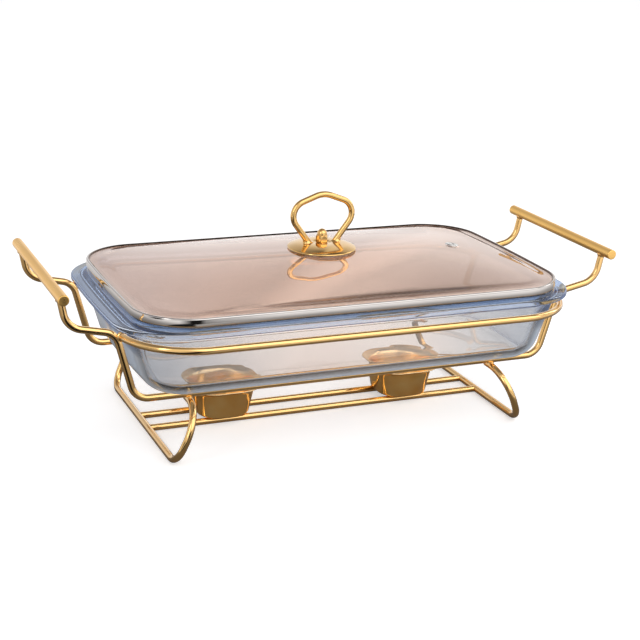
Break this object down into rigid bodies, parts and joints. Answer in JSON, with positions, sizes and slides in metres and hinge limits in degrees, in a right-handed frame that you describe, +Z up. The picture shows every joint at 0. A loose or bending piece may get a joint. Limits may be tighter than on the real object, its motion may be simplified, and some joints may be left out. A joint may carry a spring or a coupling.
{
  "type": "chafing dish",
  "caption": "Oblong glass serving dish with a lift-off domed glass lid, steel rim and bent wire knob, set in a polished gold wire rack with bar grips and candle cups under the dish.",
  "frame": {"origin": "on the table, under the middle of the rack", "axes": "+X along the long side, to the right seen from the front; +Y to the back; +Z up"},
  "size_m": [0.4958, 0.2518, 0.1955],
  "materials": {
    "rack_gold": "polished",
    "grip_gold": "satin",
    "cup_gold": "polished",
    "knob_gold": "polished",
    "rim_steel": "polished",
    "fitting_steel": "polished",
    "dish_glass": "clear",
    "lid_glass": "clear",
    "silicone": "matt"
  },
  "bodies": {
    "rack": {"front_long_wire": "rack_gold", "rear_long_wire": "rack_gold", "front_gallery_rail": "rack_gold", "rear_gallery_rail": "rack_gold", "left_leg_frame": "rack_gold", "right_leg_frame": "rack_gold", "front_candle_rail": "rack_gold", "rear_candle_rail": "rack_gold", "left_grip": "grip_gold", "right_grip": "grip_gold"},
    "left_cup": {"left_candle_cup": "cup_gold"},
    "right_cup": {"right_candle_cup": "cup_gold"},
    "dish": {"glass_dish": "dish_glass"},
    "lid": {"lid_pane": "lid_glass", "lid_rim": "rim_steel", "vent_eyelet": "fitting_steel", "knob_screw": "fitting_steel", "knob_washer": "silicone", "knob_gasket": "silicone", "knob_plate": "knob_gold", "knob_loop": "knob_gold", "knob_nut": "knob_gold"}
  },
  "joints": [
    {"name": "dish_lift", "type": "slide", "parent": "rack", "child": "dish", "axis": [0, 0, 1], "range_m": [0, 0.1]},
    {"name": "lid_lift", "type": "slide", "parent": "dish", "child": "lid", "axis": [0, 0, 1], "range_m": [0, 0.08]},
    {"name": "left_cup_slide", "type": "slide", "parent": "rack", "child": "left_cup", "axis": [1, 0, 0], "range_m": [-0.04, 0.052]},
    {"name": "right_cup_slide", "type": "slide", "parent": "rack", "child": "right_cup", "axis": [1, 0, 0], "range_m": [-0.046, 0.044]}
  ]
}
